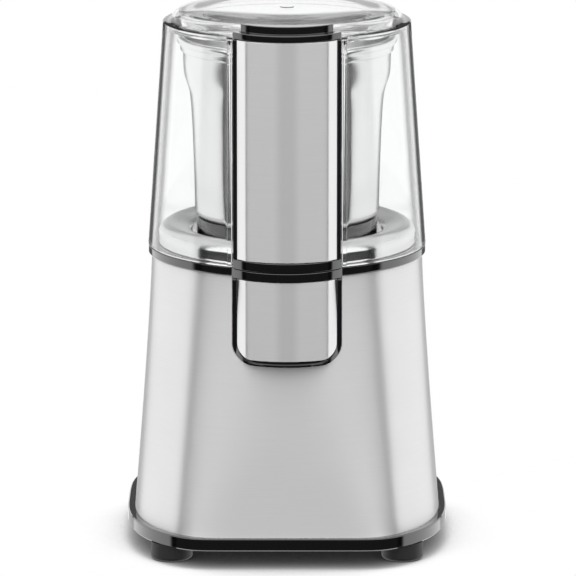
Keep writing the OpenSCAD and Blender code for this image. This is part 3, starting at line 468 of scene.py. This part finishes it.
def soften(piece, width, sharp=40, segments=3):
    """Rounds the edges that turn by more than sharp degrees, to a width in millimetres"""
    add_modifier(piece, "BEVEL", width=width * MM, segments=segments, limit_method="ANGLE",
                 angle_limit=math.radians(sharp), use_clamp_overlap=True)
    bpy.ops.object.shade_smooth_by_angle(angle=math.radians(SHADING_ANGLE))
    add_modifier(piece, "WEIGHTED_NORMAL", keep_sharp=True)


def softened(node_name, name, width, sharp=40, segments=3, extra=()):
    """The solid with its edges softened, joined with extra pieces and handed in"""
    copy = merged_copy(node_name)
    soften(copy, width, sharp, segments)
    if extra:
        copy = joined([copy, *extra])
    hand_in(copy, name, node_name)
    return copy


# %% [markdown]
# ## The collar, the button, the tray, the shell and the deck
# The collar ring, the button and its bezel, and the tray are black mouldings with small rounds. The
# button is the one that a finger feels, so its round is the largest. The shell is pressed steel, and
# only its rims are sharp enough to need a round. The deck is a thin pressing, polished brighter than
# the cup, so it gets a finish of its own in the cup's slot.

# %% Rounding the parts whose solid is already right
softened("top_collar", "collar_ring", width=0.25)
softened("button_bezel", "button_bezel_rim", width=0.3)
softened("push_button", "push_button_cap", width=0.45, segments=4)
softened("base_plate", "base_tray", width=0.2)
softened("steel_shell", "brushed_steel_body", width=0.3, sharp=60)
deck = softened("deck_dish", "polished_deck", width=0.1)
deck.data.materials[0] = finishes["deck_steel"]

# %% [markdown]
# ## Drawing an outline
# A moulding or a pressing often starts as one flat outline. It could be typed in as a mesh, but it
# is drawn here as one clicks along a shape: `drawn` makes a point out of a plane and extrudes it from
# corner to corner. `arc` gives the corners of a round part.

# %% An outline drawn from corner to corner
def arc(centre, radius, start, stop, count):
    """Points of an arc in a plane, from one angle to another in degrees"""
    turns = [math.radians(start + (stop - start) * i / count) for i in range(count + 1)]
    return [(centre[0] + radius * math.cos(t), centre[1] + radius * math.sin(t)) for t in turns]


def drawn(corners, closed=True):
    """A line through the corners, in millimetres, filled with a face if it is closed"""
    bpy.ops.object.select_all(action="DESELECT")
    start = Vector(corners[0]) * MM
    bpy.ops.mesh.primitive_plane_add(size=MM, location=start)
    piece = bpy.context.object
    bpy.ops.object.transform_apply(location=True)
    edit(piece)
    bpy.ops.mesh.merge(type="CENTER")
    for here, there in zip(corners, corners[1:]):
        step = (Vector(there) - Vector(here)) * MM
        bpy.ops.mesh.extrude_region_move(TRANSFORM_OT_translate={"value": step})
    if closed:
        bpy.ops.mesh.select_all(action="SELECT")
        bpy.ops.mesh.edge_face_add()
    done()
    return piece


print("a quarter circle:", [(round(x, 2), round(y, 2)) for x, y in arc((0, 0), 1, 0, 90, 3)])

# %% [markdown]
# The closed outline is pulled to a solid, which suits panels and frames, or half of it is spun to a
# round piece, which suits the cup. A spin can turn the faces inside out, so the seam is merged first
# and the normals are then made to point outwards.

# %% Solids pulled or spun from an outline
SPIN_WELD = 0.005


def pulled(corners, way):
    """A solid pulled out of a flat outline, along a vector in millimetres"""
    piece = drawn(corners)
    edit(piece)
    bpy.ops.mesh.extrude_region_move(TRANSFORM_OT_translate={"value": Vector(way) * MM})
    bpy.ops.mesh.select_all(action="SELECT")
    bpy.ops.mesh.normals_make_consistent(inside=False)
    done()
    return piece


def spun(profile, steps):
    """A round solid from half its outline, given as radius and height in millimetres"""
    piece = drawn([(r, 0, z) for r, z in profile + profile[:1]], closed=False)
    edit(piece)
    bpy.ops.mesh.remove_doubles(threshold=SPIN_WELD * MM)
    bpy.ops.mesh.spin(steps=steps, angle=2 * math.pi, center=(0, 0, 0), axis=(0, 0, 1))
    bpy.ops.mesh.select_all(action="SELECT")
    bpy.ops.mesh.remove_doubles(threshold=SPIN_WELD * MM)
    bpy.ops.mesh.normals_make_consistent(inside=False)
    done()
    return piece


# %% [markdown]
# ## The outline of the two steel panels
# Each pod wears a panel of thin brushed steel. Its face bows gently, folds back beside the black
# strips, and runs on flat to its edge. A bevel would give one even round, so the bow and the fold
# are drawn as two arcs that run into each other. The fold gives the dark line that the eye reads as
# a crease.

# %% The panels' outline, seen from above
STRAIGHT_AHEAD = 270
BOW_TURN, FOLD_TURN = 27, 47
PANEL_EDGE, PANEL_BACK = 17.0, -45.6
POD_FRONT = 55.8
FOLD_START, FOLD_R = 12.2, 9.0
BOW_R = FOLD_START / math.sin(math.radians(BOW_TURN))


def panel_outline():
    bow_ends = STRAIGHT_AHEAD + BOW_TURN
    face = arc((0, BOW_R - POD_FRONT), BOW_R, STRAIGHT_AHEAD, bow_ends, 14)
    reach = BOW_R - FOLD_R
    fold_centre = (reach * math.sin(math.radians(BOW_TURN)),
                   BOW_R - POD_FRONT - reach * math.cos(math.radians(BOW_TURN)))
    fold = arc(fold_centre, FOLD_R, bow_ends, STRAIGHT_AHEAD + FOLD_TURN, 8)[1:]
    end_x, end_y = fold[-1]
    edge_y = end_y + (PANEL_EDGE - end_x) * math.tan(math.radians(FOLD_TURN))
    right = face + fold + [(PANEL_EDGE, edge_y), (PANEL_EDGE, PANEL_BACK)]
    left = [(-x, y) for x, y in reversed(right[1:])]
    return left + right


def panel(foot, top):
    return pulled([(x, y, foot) for x, y in panel_outline()], (0, 0, top - foot))


print("the bow's radius:", round(BOW_R, 2), "points:", len(panel_outline()))

# %% [markdown]
# ## The panel on the lid's pod
# This panel is straight at both ends, so the outline is pulled up to its height and nothing more.

# %% The panel on the lid's pod
lid_panel = panel(foot=106.95, top=182.45)
soften(lid_panel, width=0.2)
hand_in(lid_panel, "lid_pod_panel", "lid_panel")

# %% [markdown]
# ## The panel on the base's pod
# This panel has rounded lower corners. Rounding them by hand would spoil the fold, so a second
# outline, seen from the front, cuts the pulled panel. The cutter is thrown away afterwards.

# %% The panel on the base's pod
STRAIGHT_DOWN = 270
POD_TOP = 100.15
PANEL_FOOT, PANEL_CORNER = 72.8, 5.0
CUTTER_TOP, CUTTER_FRONT, CUTTER_DEPTH = 110, -70, 30


def face_outline(half, foot, top, corner, y):
    """An upright outline with rounded lower corners, seen from the front"""
    right = arc((half - corner, foot + corner), corner, STRAIGHT_DOWN, 360, 10) + [(half, top)]
    left = [(-x, z) for x, z in reversed(right)]
    return [(x, y, z) for x, z in left + right]


base_panel = panel(foot=60, top=POD_TOP)
cut = face_outline(PANEL_EDGE - 0.01, PANEL_FOOT, CUTTER_TOP, PANEL_CORNER, CUTTER_FRONT)
cutter = pulled(cut, (0, CUTTER_DEPTH, 0))
add_modifier(base_panel, "BOOLEAN", operation="INTERSECT", object=cutter, solver="EXACT")
bpy.data.objects.remove(cutter)
soften(base_panel, width=0.5, segments=4)
hand_in(base_panel, "base_pod_panel", "switch_panel")

# %% [markdown]
# ## The black strips beside the lid's panel
# The pod's moulding ends in two narrow strips that face straight forward. A gloss black face mirrors
# what stands opposite. Seen from a little above, that is the dark floor in front, so the strips
# frame the steel in black. They could be drawn and pulled, but a bar is quicker made from a cube,
# stretched to its size, softened, and joined to the softened pod.

# %% Strips on the lid's pod
STRIP_X, STRIP_Y, STRIP_Z = 17.75, -46.9, 144.7
STRIP_SIZE = (1.3, 2.5, 75.6)
STRIP_ROUND = 0.25


def strip(side):
    centre = (side * STRIP_X * MM, STRIP_Y * MM, STRIP_Z * MM)
    bpy.ops.object.select_all(action="DESELECT")
    bpy.ops.mesh.primitive_cube_add(size=MM, location=centre, scale=STRIP_SIZE)
    bpy.ops.object.transform_apply(location=True, scale=True)
    piece = bpy.context.object
    soften(piece, STRIP_ROUND)
    return piece


softened("lid_pod", "lid_pod_trim", width=0.3, extra=[strip(-1), strip(1)])

# %% [markdown]
# ## The black frame of the base's pod
# Here the strip runs down both sides and round the foot of the panel. The outer outline and the
# inner one are drawn in one go, out and back, so the frame is one flat piece. It then leans with the
# front of the shell, turning about its upper edge.

# %% Frame on the base's pod
FRAME_FRONT, FRAME_DEPTH = -49.25, 3.2
FRAME_LEAN = 3.58
outer = face_outline(half=18.68, foot=70.95, top=POD_TOP, corner=6.6, y=FRAME_FRONT)
inner = face_outline(half=17.1, foot=72.5, top=POD_TOP, corner=5.2, y=FRAME_FRONT)
base_frame = pulled(outer + inner[::-1], (0, FRAME_DEPTH, 0))
edit(base_frame)
bpy.ops.transform.rotate(value=math.radians(-FRAME_LEAN), orient_axis="X",
                         center_override=(0, FRAME_FRONT * MM, POD_TOP * MM))
done()
soften(base_frame, STRIP_ROUND)
softened("switch_pod", "base_pod_trim", width=0.3, extra=[base_frame])

# %% [markdown]
# ## The cup
# The cup is spun from one sheet of steel: a thin wall with a soft waist, a rolled bead round its rim
# and a shallow step under the bead. It is a round piece, so half its outline is drawn, up the
# outside, over the bead and down the inside, and is then spun about the axis.

# %% Spinning the cup
CUP_WALL = 0.8
HUB_R = 6.3
FLOOR_UNDER, FLOOR_TOP = 113.4, 114.2
outside_foot = [(HUB_R, FLOOR_UNDER), (29.6, FLOOR_UNDER)] + arc((29.6, 115.9), 2.5, -75, 0, 5)
waist = [(32.2, 122), (32.45, 132), (32.8, 143), (33.25, 151.5), (33.5, 154.4), (33.85, 157.2),
         (34.3, 159), (34.8, 160.6), (35.3, 162), (35.65, 163.4), (35.9, 165.2), (36.0, 168),
         (36.1, 171.4)]
bead_step = [(36.25, 171.75), (36.9, 172.0), (37.05, 172.4), (37.05, 173.6)]
bead = arc((36.95, 175.6), 1.35, -60, 180, 16)
inside_wall = [(r - CUP_WALL, z) for r, z in reversed(outside_foot[-1:] + waist)]
inside_foot = arc((27.4, 118.2), 4.0, 0, -90, 7) + [(HUB_R, FLOOR_TOP)]
cup = spun(outside_foot + waist + bead_step + bead + inside_wall + inside_foot, steps=128)
hand_in(cup, "polished_cup", "grinding_cup", smooth=50)

# %% [markdown]
# ## The clear lid
# The lid is one thin moulding. Its side is a cone, and where the pod is let into it, the wall stands
# out as a shallow box with soft inner corners. No spin or extrusion gives that, so the lid is a loft:
# a ring of points for each height, all with the same count, joined ring by ring. The light bends in
# the soft corners and draws the fine upright lines beside the pod.

# %% Sizes of the lid, in millimetres
LID_FOOT, LID_RIM = 103.6, 181.9
FOOT_R, RIM_R = 48.5, 43.0
POCKET_HALF, CHEEK_HALF = 18.6, 20.3
POCKET_R, CHEEK_R, CHANNEL_R = 47.05, 48.7, 45.35
WALL = 1.8


def cone(z):
    """The lid's radius at a height"""
    return FOOT_R + (RIM_R - FOOT_R) * (z - LID_FOOT) / (LID_RIM - LID_FOOT)


print("the lid's radius at its foot and rim:", cone(LID_FOOT), cone(LID_RIM))

# %% [markdown]
# Half a ring runs from the middle of the pocket, in front, to the middle of the back. The pocket
# and the back are parts of circles. The points of the back crowd towards the pocket, where the
# corners are tight.

# %% Parts of a ring
POCKET_STEPS = 8
BACK_STEPS = 64
CROWDING = 1.25


def on_circle(x, radius):
    return x, -math.sqrt(radius * radius - x * x)


def pocket_part(radius):
    return [on_circle(POCKET_HALF * i / POCKET_STEPS, radius) for i in range(POCKET_STEPS + 1)]


def back_part(x_start, radius):
    """The lid's round, from a place beside the pod to the middle of the back"""
    start = math.degrees(math.asin(x_start / radius))
    turns = [start + (180 - start) * (i / BACK_STEPS) ** CROWDING for i in range(1, BACK_STEPS + 1)]
    return [(radius * math.sin(math.radians(t)), -radius * math.cos(math.radians(t))) for t in turns]


print("points of the pocket and of the back:", len(pocket_part(POCKET_R)), len(back_part(20, 45)))

# %% [markdown]
# Between them, the outside goes round the cheek, the thin wall beside the pod, and then through a
# hollow fillet that meets both the cheek and the cone. Its radius is the largest that fits at that
# height, up to a limit. The inside goes straight back from the channel to the round.

# %% Half a ring outside and inside
CHEEK_ROUND = 0.5
LARGEST_FILLET, SMALLEST_FILLET = 3.2, 0.02
SIDE_STEPS = 19


def outside_ring(radius):
    """Half the outside at a height where the cone has this radius"""
    corner = on_circle(CHEEK_HALF, CHEEK_R)[1] + CHEEK_ROUND
    tip = on_circle(POCKET_HALF + 0.4, CHEEK_R)[1]
    # the cheek's inner edge, rounded by three points, then its outer edge, rounded by an arc
    cheek = [(POCKET_HALF, tip + 0.5), (POCKET_HALF + 0.12, tip + 0.15), (POCKET_HALF + 0.4, tip)]
    cheek += arc((CHEEK_HALF - CHEEK_ROUND, corner - 0.05), CHEEK_ROUND, 285, 360, 4)
    room = (corner * corner + CHEEK_HALF ** 2 - radius ** 2) / (2 * radius - 2 * CHEEK_HALF)
    soft = max(SMALLEST_FILLET, min(LARGEST_FILLET, room))
    centre_y = -math.sqrt((radius + soft) ** 2 - (CHEEK_HALF + soft) ** 2)
    turn = math.degrees(math.atan2(-centre_y, -(CHEEK_HALF + soft)))
    fillet = arc((CHEEK_HALF + soft, centre_y), soft, 180, turn, 10)
    return pocket_part(POCKET_R) + cheek + fillet + back_part(fillet[-1][0], radius)


def inside_ring(radius):
    """Half the inside, with as many points as the outside has"""
    channel = pocket_part(CHANNEL_R)
    meet = on_circle(POCKET_HALF, radius)[1]
    start = channel[-1][1]
    side = [(POCKET_HALF, start + (meet - start) * i / SIDE_STEPS) for i in range(1, SIDE_STEPS + 1)]
    return channel + side + back_part(POCKET_HALF, radius)


HALF_COUNT = len(outside_ring(RIM_R))
print("points in half a ring:", HALF_COUNT, len(inside_ring(RIM_R - WALL)))

# %% [markdown]
# The lid's top is a plain disc, a little domed, with a round edge that stands on the rim. Its rings
# are circles, and the rings on the flat rim pass from one form to the other. At the centre is the
# gate, a small raised dot where the plastic entered the mould, and a very small last ring closes it.

# %% The top's profile, and circles with as many points
DISC_R, DISC_EDGE = 40.3, 3.9
EDGE_FOOT, EDGE_RISE = 182.1, 3.5
DOME_RISE = 0.8
GATE_R, GATE_TOP = 2.35, 186.6
POLE_R, INSIDE_TOP = 0.02, 184.6
flat_r = DISC_R - DISC_EDGE


def round_ring(radius):
    """Half a circle, for the lid's top"""
    turns = [math.pi * i / (HALF_COUNT - 1) for i in range(HALF_COUNT)]
    return [(radius * math.sin(t), -radius * math.cos(t)) for t in turns]


def eased(inner, outer, share):
    """A ring between two others"""
    return [(a[0] + (b[0] - a[0]) * share, a[1] + (b[1] - a[1]) * share) for a, b in zip(inner, outer)]


edge_turns = [math.radians(10 * i) for i in range(10)]
disc_edge = [(flat_r + DISC_EDGE * math.cos(t), EDGE_FOOT + EDGE_RISE * math.sin(t)) for t in edge_turns]
dome = [(r, EDGE_FOOT + EDGE_RISE + DOME_RISE * (1 - (r / flat_r) ** 4))
        for r in (35, 33, 30, 26, 21, 15, 8, 2.5)]
top_outside = disc_edge + dome + [(GATE_R, GATE_TOP), (POLE_R, GATE_TOP)]
top_inside = [(r - WALL if r > 30 else r, z - WALL) for r, z in disc_edge + dome]
top_inside += [(POLE_R, INSIDE_TOP)]
print("the dome's height at its middle:", round(dome[-1][1], 2))

# %% [markdown]
# The rings are stacked up the outside, in over the rim and the top, and back down the inside. The
# foot has a small chamfer. A ring just above it keeps the smooth shading of the chamfer out of the
# wall, which would otherwise bend the light like a lens.

# %% Stacking the rings
SIDE_FOOT, SIDE_TOP = 104, 181.4
FOOT_CHAMFER, GUARD = 0.25, 0.2
# how far in over the rim, as a share of the way to the disc, and the height there
LEDGE = ((0.0, 181.65), (0.05, 181.86), (0.14, 181.93), (0.5, 182.0))
# how far in from the wall, in the corner under the rim, and the height there
INSIDE_CORNER = ((0.4, 180.05), (0.0, 179.6))


def ring_at(half, z):
    """A whole ring at a height, from its half"""
    return [(x, y, z) for x, y in half + [(-x, y) for x, y in reversed(half[1:-1])]]


levels = [SIDE_FOOT, SIDE_FOOT + GUARD]
levels += [SIDE_FOOT + (SIDE_TOP - SIDE_FOOT) * i / 14 for i in range(1, 15)]
rim_plan = outside_ring(RIM_R)
disc_plan = round_ring(DISC_R)
rings = [ring_at(outside_ring(FOOT_R - FOOT_CHAMFER), LID_FOOT)]
rings += [ring_at(outside_ring(cone(z)), z) for z in levels]
rings += [ring_at(eased(rim_plan, disc_plan, share), z) for share, z in LEDGE]
rings += [ring_at(round_ring(r), z) for r, z in top_outside + top_inside[::-1]]
rings += [ring_at(inside_ring(RIM_R - WALL - inward), z) for inward, z in INSIDE_CORNER]
rings += [ring_at(inside_ring(cone(z) - WALL), z) for z in levels[::-1] + [LID_FOOT]]
count = len(rings[0])
print("lid rings:", len(rings), "points in a ring:", count)

# %% [markdown]
# The rings become a mesh whose faces join each point to its neighbours on the next ring. Bridging
# edge loops would do the same two rings at a time, with a selection for each pair. The last ring
# joins the first, so the lid closes under its foot.

# %% Lofting the lid
LOFT_WELD = 0.008
points = [(x * MM, y * MM, z * MM) for ring in rings for x, y, z in ring]
faces = []
for j in range(len(rings)):
    k = (j + 1) % len(rings)
    faces += [(j * count + i, j * count + (i + 1) % count, k * count + (i + 1) % count, k * count + i)
              for i in range(count)]
lid_mesh = bpy.data.meshes.new("clear_lid")
lid_mesh.from_pydata(points, [], faces)
clear_lid = bpy.data.objects.new("clear_lid", lid_mesh)
bpy.context.scene.collection.objects.link(clear_lid)
edit(clear_lid)
bpy.ops.mesh.remove_doubles(threshold=LOFT_WELD * MM)
bpy.ops.mesh.normals_make_consistent(inside=False)
done()
hand_in(clear_lid, "clear_lid", "lid_shell", smooth=40)

# %% [markdown]
# ## The studio's directions
# The grinder stands in a white tent. Lamps and cards could be placed round it, but each would have to
# be hidden from the camera. A world gives the same light by direction alone: `off_front` is the angle
# away from the front, and `height` the angle above the horizon, both in degrees.

# %% Directions of the world
world = bpy.data.worlds.new("white_tent")
bpy.context.scene.world = world
world.use_nodes = True
tent = Wire(world.node_tree)
x_way = tent.node("SeparateXYZ", None, {0: tent.node("TexCoord")})
DEGREES = 180 / math.pi
off_front = tent.maths("ARCTAN2", tent.maths("ABSOLUTE", x_way), 0 - x_way.beside("Y")) * DEGREES
height = tent.maths("ARCSINE", x_way.beside("Z")) * DEGREES


def window(angle, opens, is_open, closes, is_closed):
    """1 between two angles and 0 beyond them, with a soft border at each"""
    return angle.step(opens, is_open) * (1 - angle.step(closes, is_closed))


print("nodes for the directions:", len(world.node_tree.nodes))

# %% [markdown]
# ## What polished faces see in front
# In front stands a soft light, and below it the floor is dark, so faces that lean down go black.
# Between the front light and the side walls hangs a dark flag. It draws the dark crease where the
# shell turns from its front to its side. The flag fades out between 45 and 60 degrees up.

# %% The front of the tent
FLOOR_LEVEL, FRONT_LEVEL, FLAG_DARK = 0.04, 1.41, 0.9
low = 1 - height.step(45, 60)
flag = window(off_front, 73, 77, 82, 85) * low
front_light = height.step(-7, 3).blend(FLOOR_LEVEL, FRONT_LEVEL) * (1 - flag * FLAG_DARK)
print("front light:", FRONT_LEVEL, "floor in front:", FLOOR_LEVEL)

# %% [markdown]
# ## What the clear lid bends towards us from behind
# The side walls are bright. Behind the grinder the wall has two dark openings, since a clear lid in
# front of pure white has no outline at all. The one a little above the horizon draws the crescent
# on the domed top. The one below it, which leaves out the very middle, draws the sides' outlines.

# %% The sides and the back of the tent
SIDE_LEVEL = 1.08
OPENING_DARK = 0.88
behind = off_front.step(150, 154) * low
gap = window(height, 9.5, 10.4, 29, 34)
edges = (1 - off_front.step(169, 173)) * window(height, -16, -13, -7, -5)
backdrop = (1 - edges * OPENING_DARK) * (1 - gap * OPENING_DARK)
side_light = behind.blend(SIDE_LEVEL, backdrop)
print("side walls:", SIDE_LEVEL, "openings:", round(1 - OPENING_DARK, 2))

# %% [markdown]
# ## Who sees the tent
# The camera sees pure white, and so does a matt surface, which gives even light. Glossy and clear
# surfaces see the tent as it is. One case stands apart. From behind, one looks through the clear lid
# at the front of the tent, and its dark floor would fill the lid with grey. So a ray that passed
# through clear plastic, and met nothing else, sees near white there. On the world, Ray Depth counts
# one more than the bounces, and Transmission Depth counts only the passes, so for such a ray they
# differ by one.

# %% Light for each kind of ray
SEEN_THROUGH_LEVEL = 0.97
is_camera = tent.node("LightPath")
is_transmitted = is_camera.beside("Is Transmission Ray")
met_something = (is_camera.beside("Ray Depth") - is_camera.beside("Transmission Depth")).step(1.2, 1.8)
seen_through = is_transmitted * (1 - met_something)
front = seen_through.blend(front_light, SEEN_THROUGH_LEVEL)
tent_light = off_front.step(82, 87).blend(front, side_light)
sees_tent = tent.maths("MAXIMUM", is_camera.beside("Is Glossy Ray"), is_transmitted)
level = is_camera.blend(sees_tent.blend(1.0, tent_light), 1.0)
background = world.node_tree.nodes["Background"]
tent.feed(background.inputs["Color"], level)
background.inputs["Strength"].default_value = 1.0
print("nodes of the world:", len(world.node_tree.nodes))

# %% [markdown]
# ## The table
# A white table under the grinder, with a painted contact shadow. A matt white plane would turn grey
# under even light, so the table glows white by itself. How much of the sky a point of the table sees
# decides how bright its glow is, which the Ambient Occlusion node measures and a ramp of greys sets,
# so the shadow is painted into the glow and not cast by blocked light.
# Mirrors and glass don't see the table, because the tent's floor stands for it there.

# %% Table with a painted contact shadow
TABLE_SIZE, TABLE_UNDER, SKY_REACH = 40, 0.0002, 0.25
# how open the sky is, and the table's brightness there, which paints the contact shadow
PAINTED_SHADOW = [(0.03, 0.010), (0.05, 0.025), (0.10, 0.065), (0.20, 0.13), (0.39, 0.30), (0.53, 0.50),
          (0.62, 0.86), (0.66, 1.0)]
bpy.ops.mesh.primitive_plane_add(size=TABLE_SIZE, location=(0, 0, -TABLE_UNDER))
table = bpy.context.object
table.name = "white_table"
table_white = bpy.data.materials.new("white_table")
table_white.use_nodes = True
table_nodes = table_white.node_tree.nodes
table_nodes.remove(table_nodes["Principled BSDF"])
table_wire = Wire(table_white.node_tree)
# the painted shadow: the glow is darkened where the sky is less open, not by light that is blocked
open_sky = table_wire.node("AmbientOcclusion", {"samples": 16}, {"Distance": SKY_REACH}, out=1)
shadow = table_wire.node("ValToRGB", {"stops": PAINTED_SHADOW}, {"Fac": open_sky})
table_glow = table_wire.node("Emission", None, {"Color": shadow})
table_wire.feed(table_nodes["Material Output"].inputs["Surface"], table_glow)
table.data.materials.append(table_white)
table.visible_glossy = False
table.visible_transmission = False
print("table:", TABLE_SIZE, "m wide, with", len(PAINTED_SHADOW), "stops in its shadow")

# %% [markdown]
# ## The camera
# A short lens close by would make the foot and the rim splay. So the camera stands a metre and three
# quarters away with a long lens, a little above the grinder.

# %% Camera
CAMERA_BACK, CAMERA_UP, AIM_UP = 1.75, 0.4558, 0.0868
FOCAL_PIXELS, FRAME_PIXELS = 5105, 576
camera_data = bpy.data.cameras.new("camera")
camera = bpy.data.objects.new("camera", camera_data)
bpy.context.scene.collection.objects.link(camera)
camera.location = (0, -CAMERA_BACK, CAMERA_UP)
aim = Vector((0, 0, AIM_UP)) - camera.location
camera.rotation_euler = aim.to_track_quat("-Z", "Y").to_euler()
camera_data.sensor_width = 36
camera_data.lens = FOCAL_PIXELS / FRAME_PIXELS * camera_data.sensor_width
camera_data.shift_x = 1 / FRAME_PIXELS
camera_data.clip_end = 100
bpy.context.scene.camera = camera
bpy.context.scene.view_settings.view_transform = "Standard"
print("lens:", round(camera_data.lens), "mm")
